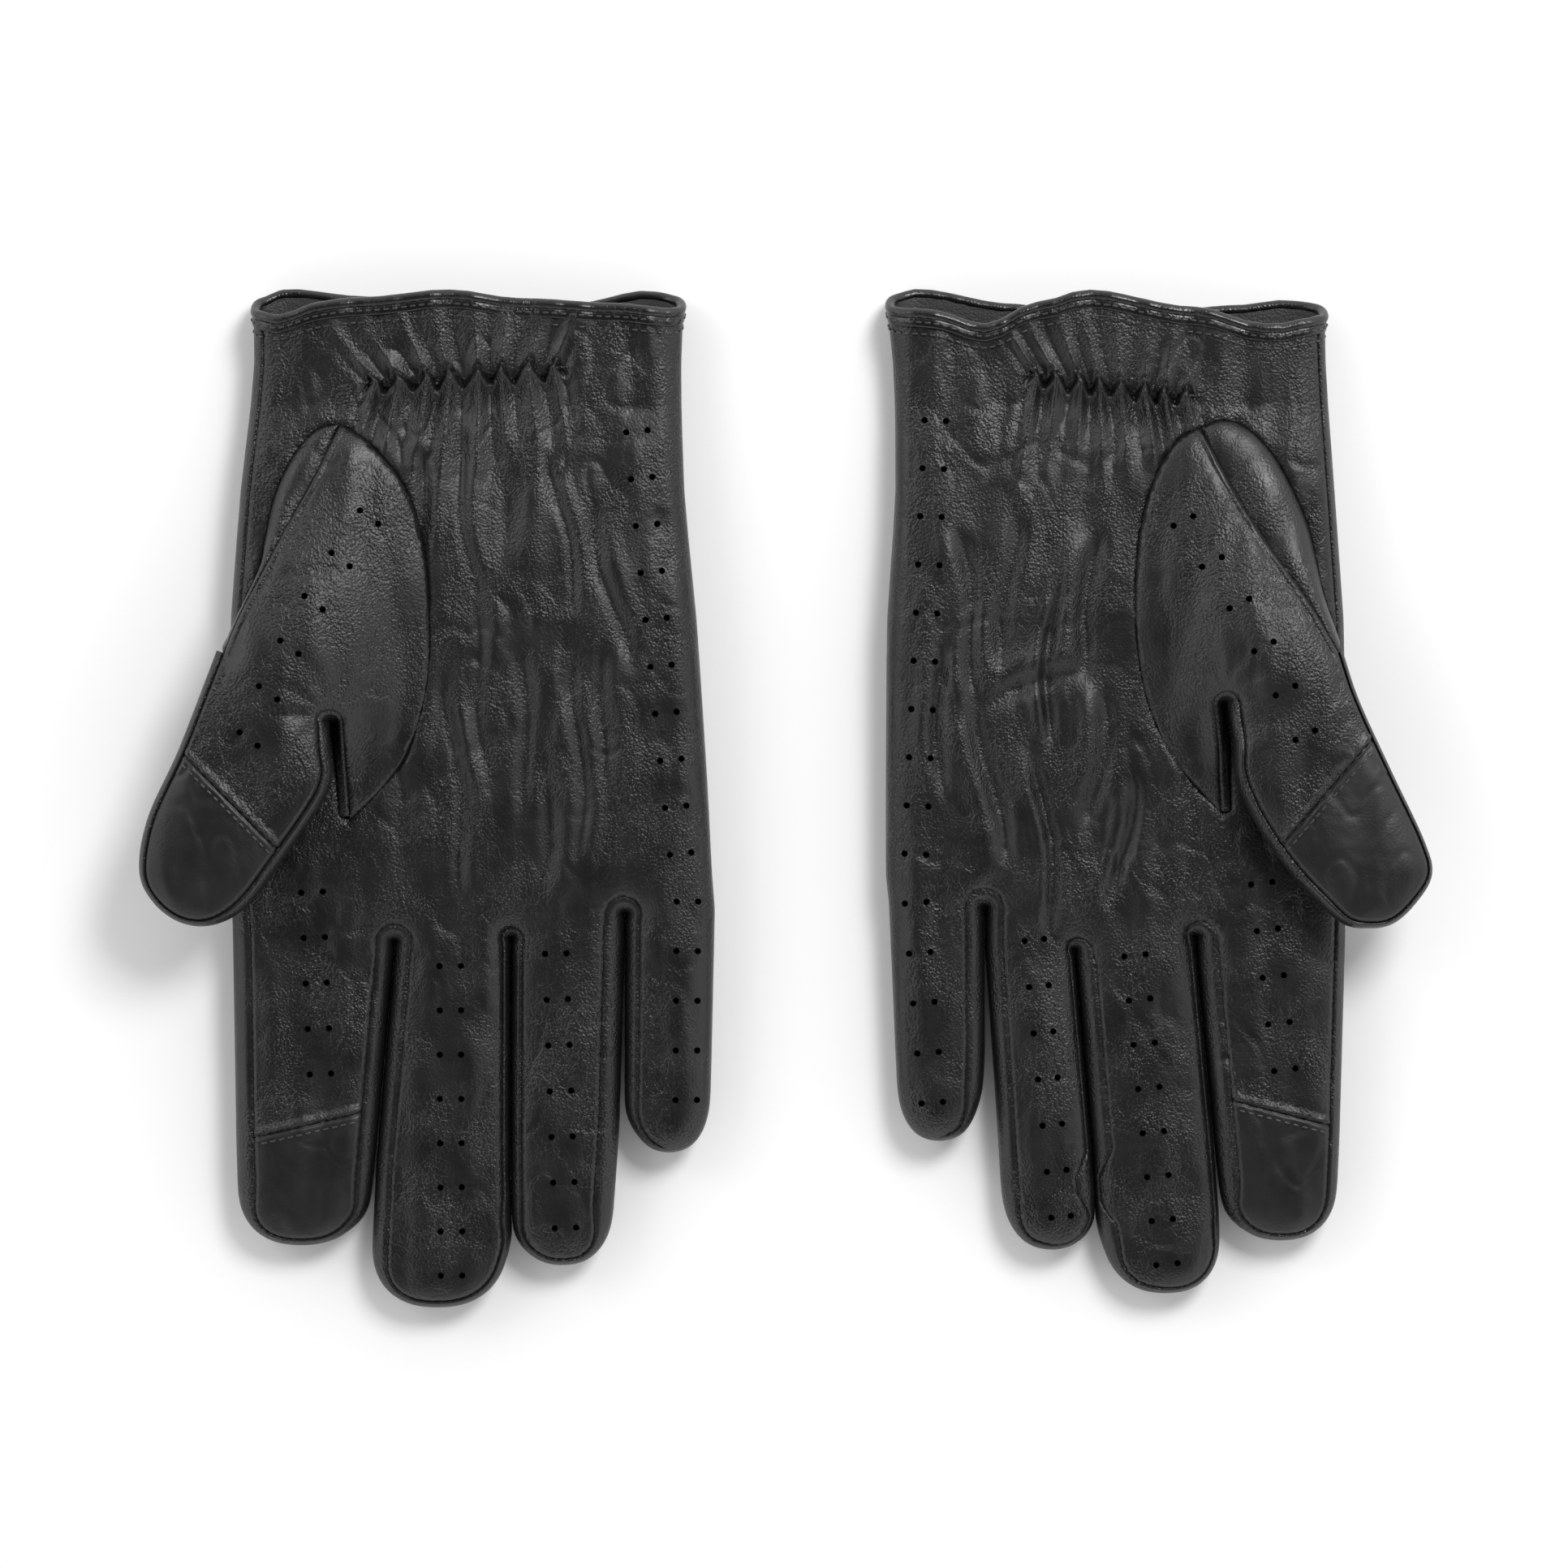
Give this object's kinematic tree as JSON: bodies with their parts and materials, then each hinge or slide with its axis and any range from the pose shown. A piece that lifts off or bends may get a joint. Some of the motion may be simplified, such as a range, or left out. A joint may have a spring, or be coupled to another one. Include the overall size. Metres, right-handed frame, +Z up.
{
  "type": "pair of driving gloves",
  "caption": "Pair of black leather driving gloves with set-in thumbs, side-strip fingers, touch fingertips, perforated palms and elastic wrists.",
  "frame": {"origin": "middle of the pair's footprint, on the surface the gloves lie on", "axes": "+Z up from that surface, +X across the pair towards the left-hand glove, +Y from the fingertips to the cuffs"},
  "size_m": [0.3026, 0.2399, 0.0286],
  "materials": {
    "leather": "soft black nappa, fine grain, low sheen",
    "touch_patch": "smoother conductive leather, matt",
    "binding": "rolled nappa strip, fine grain",
    "facing": "nappa band, fine grain",
    "elastic": "woven black elastic"
  },
  "bodies": {
    "right_hand": {"right_palm_panel": "leather", "right_back_panel": "leather", "right_thumb_keystone": "leather", "right_cuff_binding": "binding", "right_cuff_facing": "facing", "right_wrist_elastic": "elastic"},
    "right_index": {"right_index_front": "leather", "right_index_back": "leather", "right_index_side_strips": "leather"},
    "right_index_tip": {"right_index_touch_patch": "touch_patch", "right_index_tip_back": "leather"},
    "right_middle": {"right_middle_front": "leather", "right_middle_back": "leather", "right_middle_side_strips": "leather"},
    "right_middle_tip": {"right_middle_tip_front": "leather", "right_middle_tip_back": "leather"},
    "right_ring": {"right_ring_front": "leather", "right_ring_back": "leather", "right_ring_side_strips": "leather"},
    "right_ring_tip": {"right_ring_tip_front": "leather", "right_ring_tip_back": "leather"},
    "right_little": {"right_little_front": "leather", "right_little_back": "leather", "right_little_side_strips": "leather"},
    "right_little_tip": {"right_little_tip_front": "leather", "right_little_tip_back": "leather"},
    "right_thumb": {"right_thumb_front": "leather", "right_thumb_back": "leather"},
    "right_thumb_tip": {"right_thumb_touch_patch": "touch_patch", "right_thumb_tip_back": "leather"},
    "left_hand": {"left_palm_panel": "leather", "left_back_panel": "leather", "left_thumb_keystone": "leather", "left_cuff_binding": "binding", "left_cuff_facing": "facing", "left_wrist_elastic": "elastic"},
    "left_index": {"left_index_front": "leather", "left_index_back": "leather", "left_index_side_strips": "leather"},
    "left_index_tip": {"left_index_touch_patch": "touch_patch", "left_index_tip_back": "leather"},
    "left_middle": {"left_middle_front": "leather", "left_middle_back": "leather", "left_middle_side_strips": "leather"},
    "left_middle_tip": {"left_middle_tip_front": "leather", "left_middle_tip_back": "leather"},
    "left_ring": {"left_ring_front": "leather", "left_ring_back": "leather", "left_ring_side_strips": "leather"},
    "left_ring_tip": {"left_ring_tip_front": "leather", "left_ring_tip_back": "leather"},
    "left_little": {"left_little_front": "leather", "left_little_back": "leather", "left_little_side_strips": "leather"},
    "left_little_tip": {"left_little_tip_front": "leather", "left_little_tip_back": "leather"},
    "left_thumb": {"left_thumb_front": "leather", "left_thumb_back": "leather"},
    "left_thumb_tip": {"left_thumb_touch_patch": "touch_patch", "left_thumb_tip_back": "leather"}
  },
  "joints": [
    {"name": "pair_spacing", "type": "slide", "parent": "right_hand", "child": "left_hand", "axis": [1, 0, 0], "range_m": [0, 0.15]},
    {"name": "right_index_knuckle", "type": "hinge", "parent": "right_hand", "child": "right_index", "pos_m": [-0.111, -0.0315, 0.0142], "axis": [-1, 0, 0], "range_deg": [0, 85]},
    {"name": "right_index_bend", "type": "hinge", "parent": "right_index", "child": "right_index_tip", "pos_m": [-0.11276, -0.0763, 0.01253], "axis": [-1, 0, 0], "range_deg": [0, 95]},
    {"name": "right_middle_knuckle", "type": "hinge", "parent": "right_hand", "child": "right_middle", "pos_m": [-0.0781, -0.0315, 0.0142], "axis": [-1, 0, 0], "range_deg": [0, 85]},
    {"name": "right_middle_bend", "type": "hinge", "parent": "right_middle", "child": "right_middle_tip", "pos_m": [-0.0802, -0.0795, 0.01272], "axis": [-1, 0, 0], "range_deg": [0, 95]},
    {"name": "right_ring_knuckle", "type": "hinge", "parent": "right_hand", "child": "right_ring", "pos_m": [-0.0512, -0.0315, 0.0142], "axis": [-1, 0, 0], "range_deg": [0, 85]},
    {"name": "right_ring_bend", "type": "hinge", "parent": "right_ring", "child": "right_ring_tip", "pos_m": [-0.05196, -0.0755, 0.01266], "axis": [-1, 0, 0], "range_deg": [0, 95]},
    {"name": "right_little_knuckle", "type": "hinge", "parent": "right_hand", "child": "right_little", "pos_m": [-0.0271, -0.025, 0.0142], "axis": [-1, 0, 0], "range_deg": [0, 85]},
    {"name": "right_little_bend", "type": "hinge", "parent": "right_little", "child": "right_little_tip", "pos_m": [-0.02731, -0.057, 0.01259], "axis": [-1, 0, 0], "range_deg": [0, 95]},
    {"name": "right_thumb_spread", "type": "hinge", "parent": "right_hand", "child": "right_thumb", "pos_m": [-0.13201, 0.03403, 0.02205], "axis": [0, 0, -1], "range_deg": [0, 30]},
    {"name": "right_thumb_bend", "type": "hinge", "parent": "right_thumb", "child": "right_thumb_tip", "pos_m": [-0.13156, 0.00049, 0.0283], "axis": [-0.9003, 0.4352, 0], "range_deg": [0, 40]},
    {"name": "left_index_knuckle", "type": "hinge", "parent": "left_hand", "child": "left_index", "pos_m": [0.1138, -0.0326, 0.0142], "axis": [-1, 0, 0], "range_deg": [0, 85]},
    {"name": "left_index_bend", "type": "hinge", "parent": "left_index", "child": "left_index_tip", "pos_m": [0.11529, -0.0746, 0.01257], "axis": [-1, 0, 0], "range_deg": [0, 95]},
    {"name": "left_middle_knuckle", "type": "hinge", "parent": "left_hand", "child": "left_middle", "pos_m": [0.0817, -0.034, 0.0142], "axis": [-1, 0, 0], "range_deg": [0, 85]},
    {"name": "left_middle_bend", "type": "hinge", "parent": "left_middle", "child": "left_middle_tip", "pos_m": [0.08578, -0.079, 0.0127], "axis": [-1, 0, 0], "range_deg": [0, 95]},
    {"name": "left_ring_knuckle", "type": "hinge", "parent": "left_hand", "child": "left_ring", "pos_m": [0.0571, -0.034, 0.0142], "axis": [-1, 0, 0], "range_deg": [0, 85]},
    {"name": "left_ring_bend", "type": "hinge", "parent": "left_ring", "child": "left_ring_tip", "pos_m": [0.06014, -0.075, 0.01262], "axis": [-1, 0, 0], "range_deg": [0, 95]},
    {"name": "left_little_knuckle", "type": "hinge", "parent": "left_hand", "child": "left_little", "pos_m": [0.0351, -0.024, 0.0142], "axis": [-1, 0, 0], "range_deg": [0, 85]},
    {"name": "left_little_bend", "type": "hinge", "parent": "left_little", "child": "left_little_tip", "pos_m": [0.03559, -0.055, 0.01257], "axis": [-1, 0, 0], "range_deg": [0, 95]},
    {"name": "left_thumb_spread", "type": "hinge", "parent": "left_hand", "child": "left_thumb", "pos_m": [0.12997, 0.03439, 0.02205], "axis": [0, 0, 1], "range_deg": [0, 30]},
    {"name": "left_thumb_bend", "type": "hinge", "parent": "left_thumb", "child": "left_thumb_tip", "pos_m": [0.12917, 0.00085, 0.0283], "axis": [-0.9048, -0.4258, 0], "range_deg": [0, 40]}
  ]
}
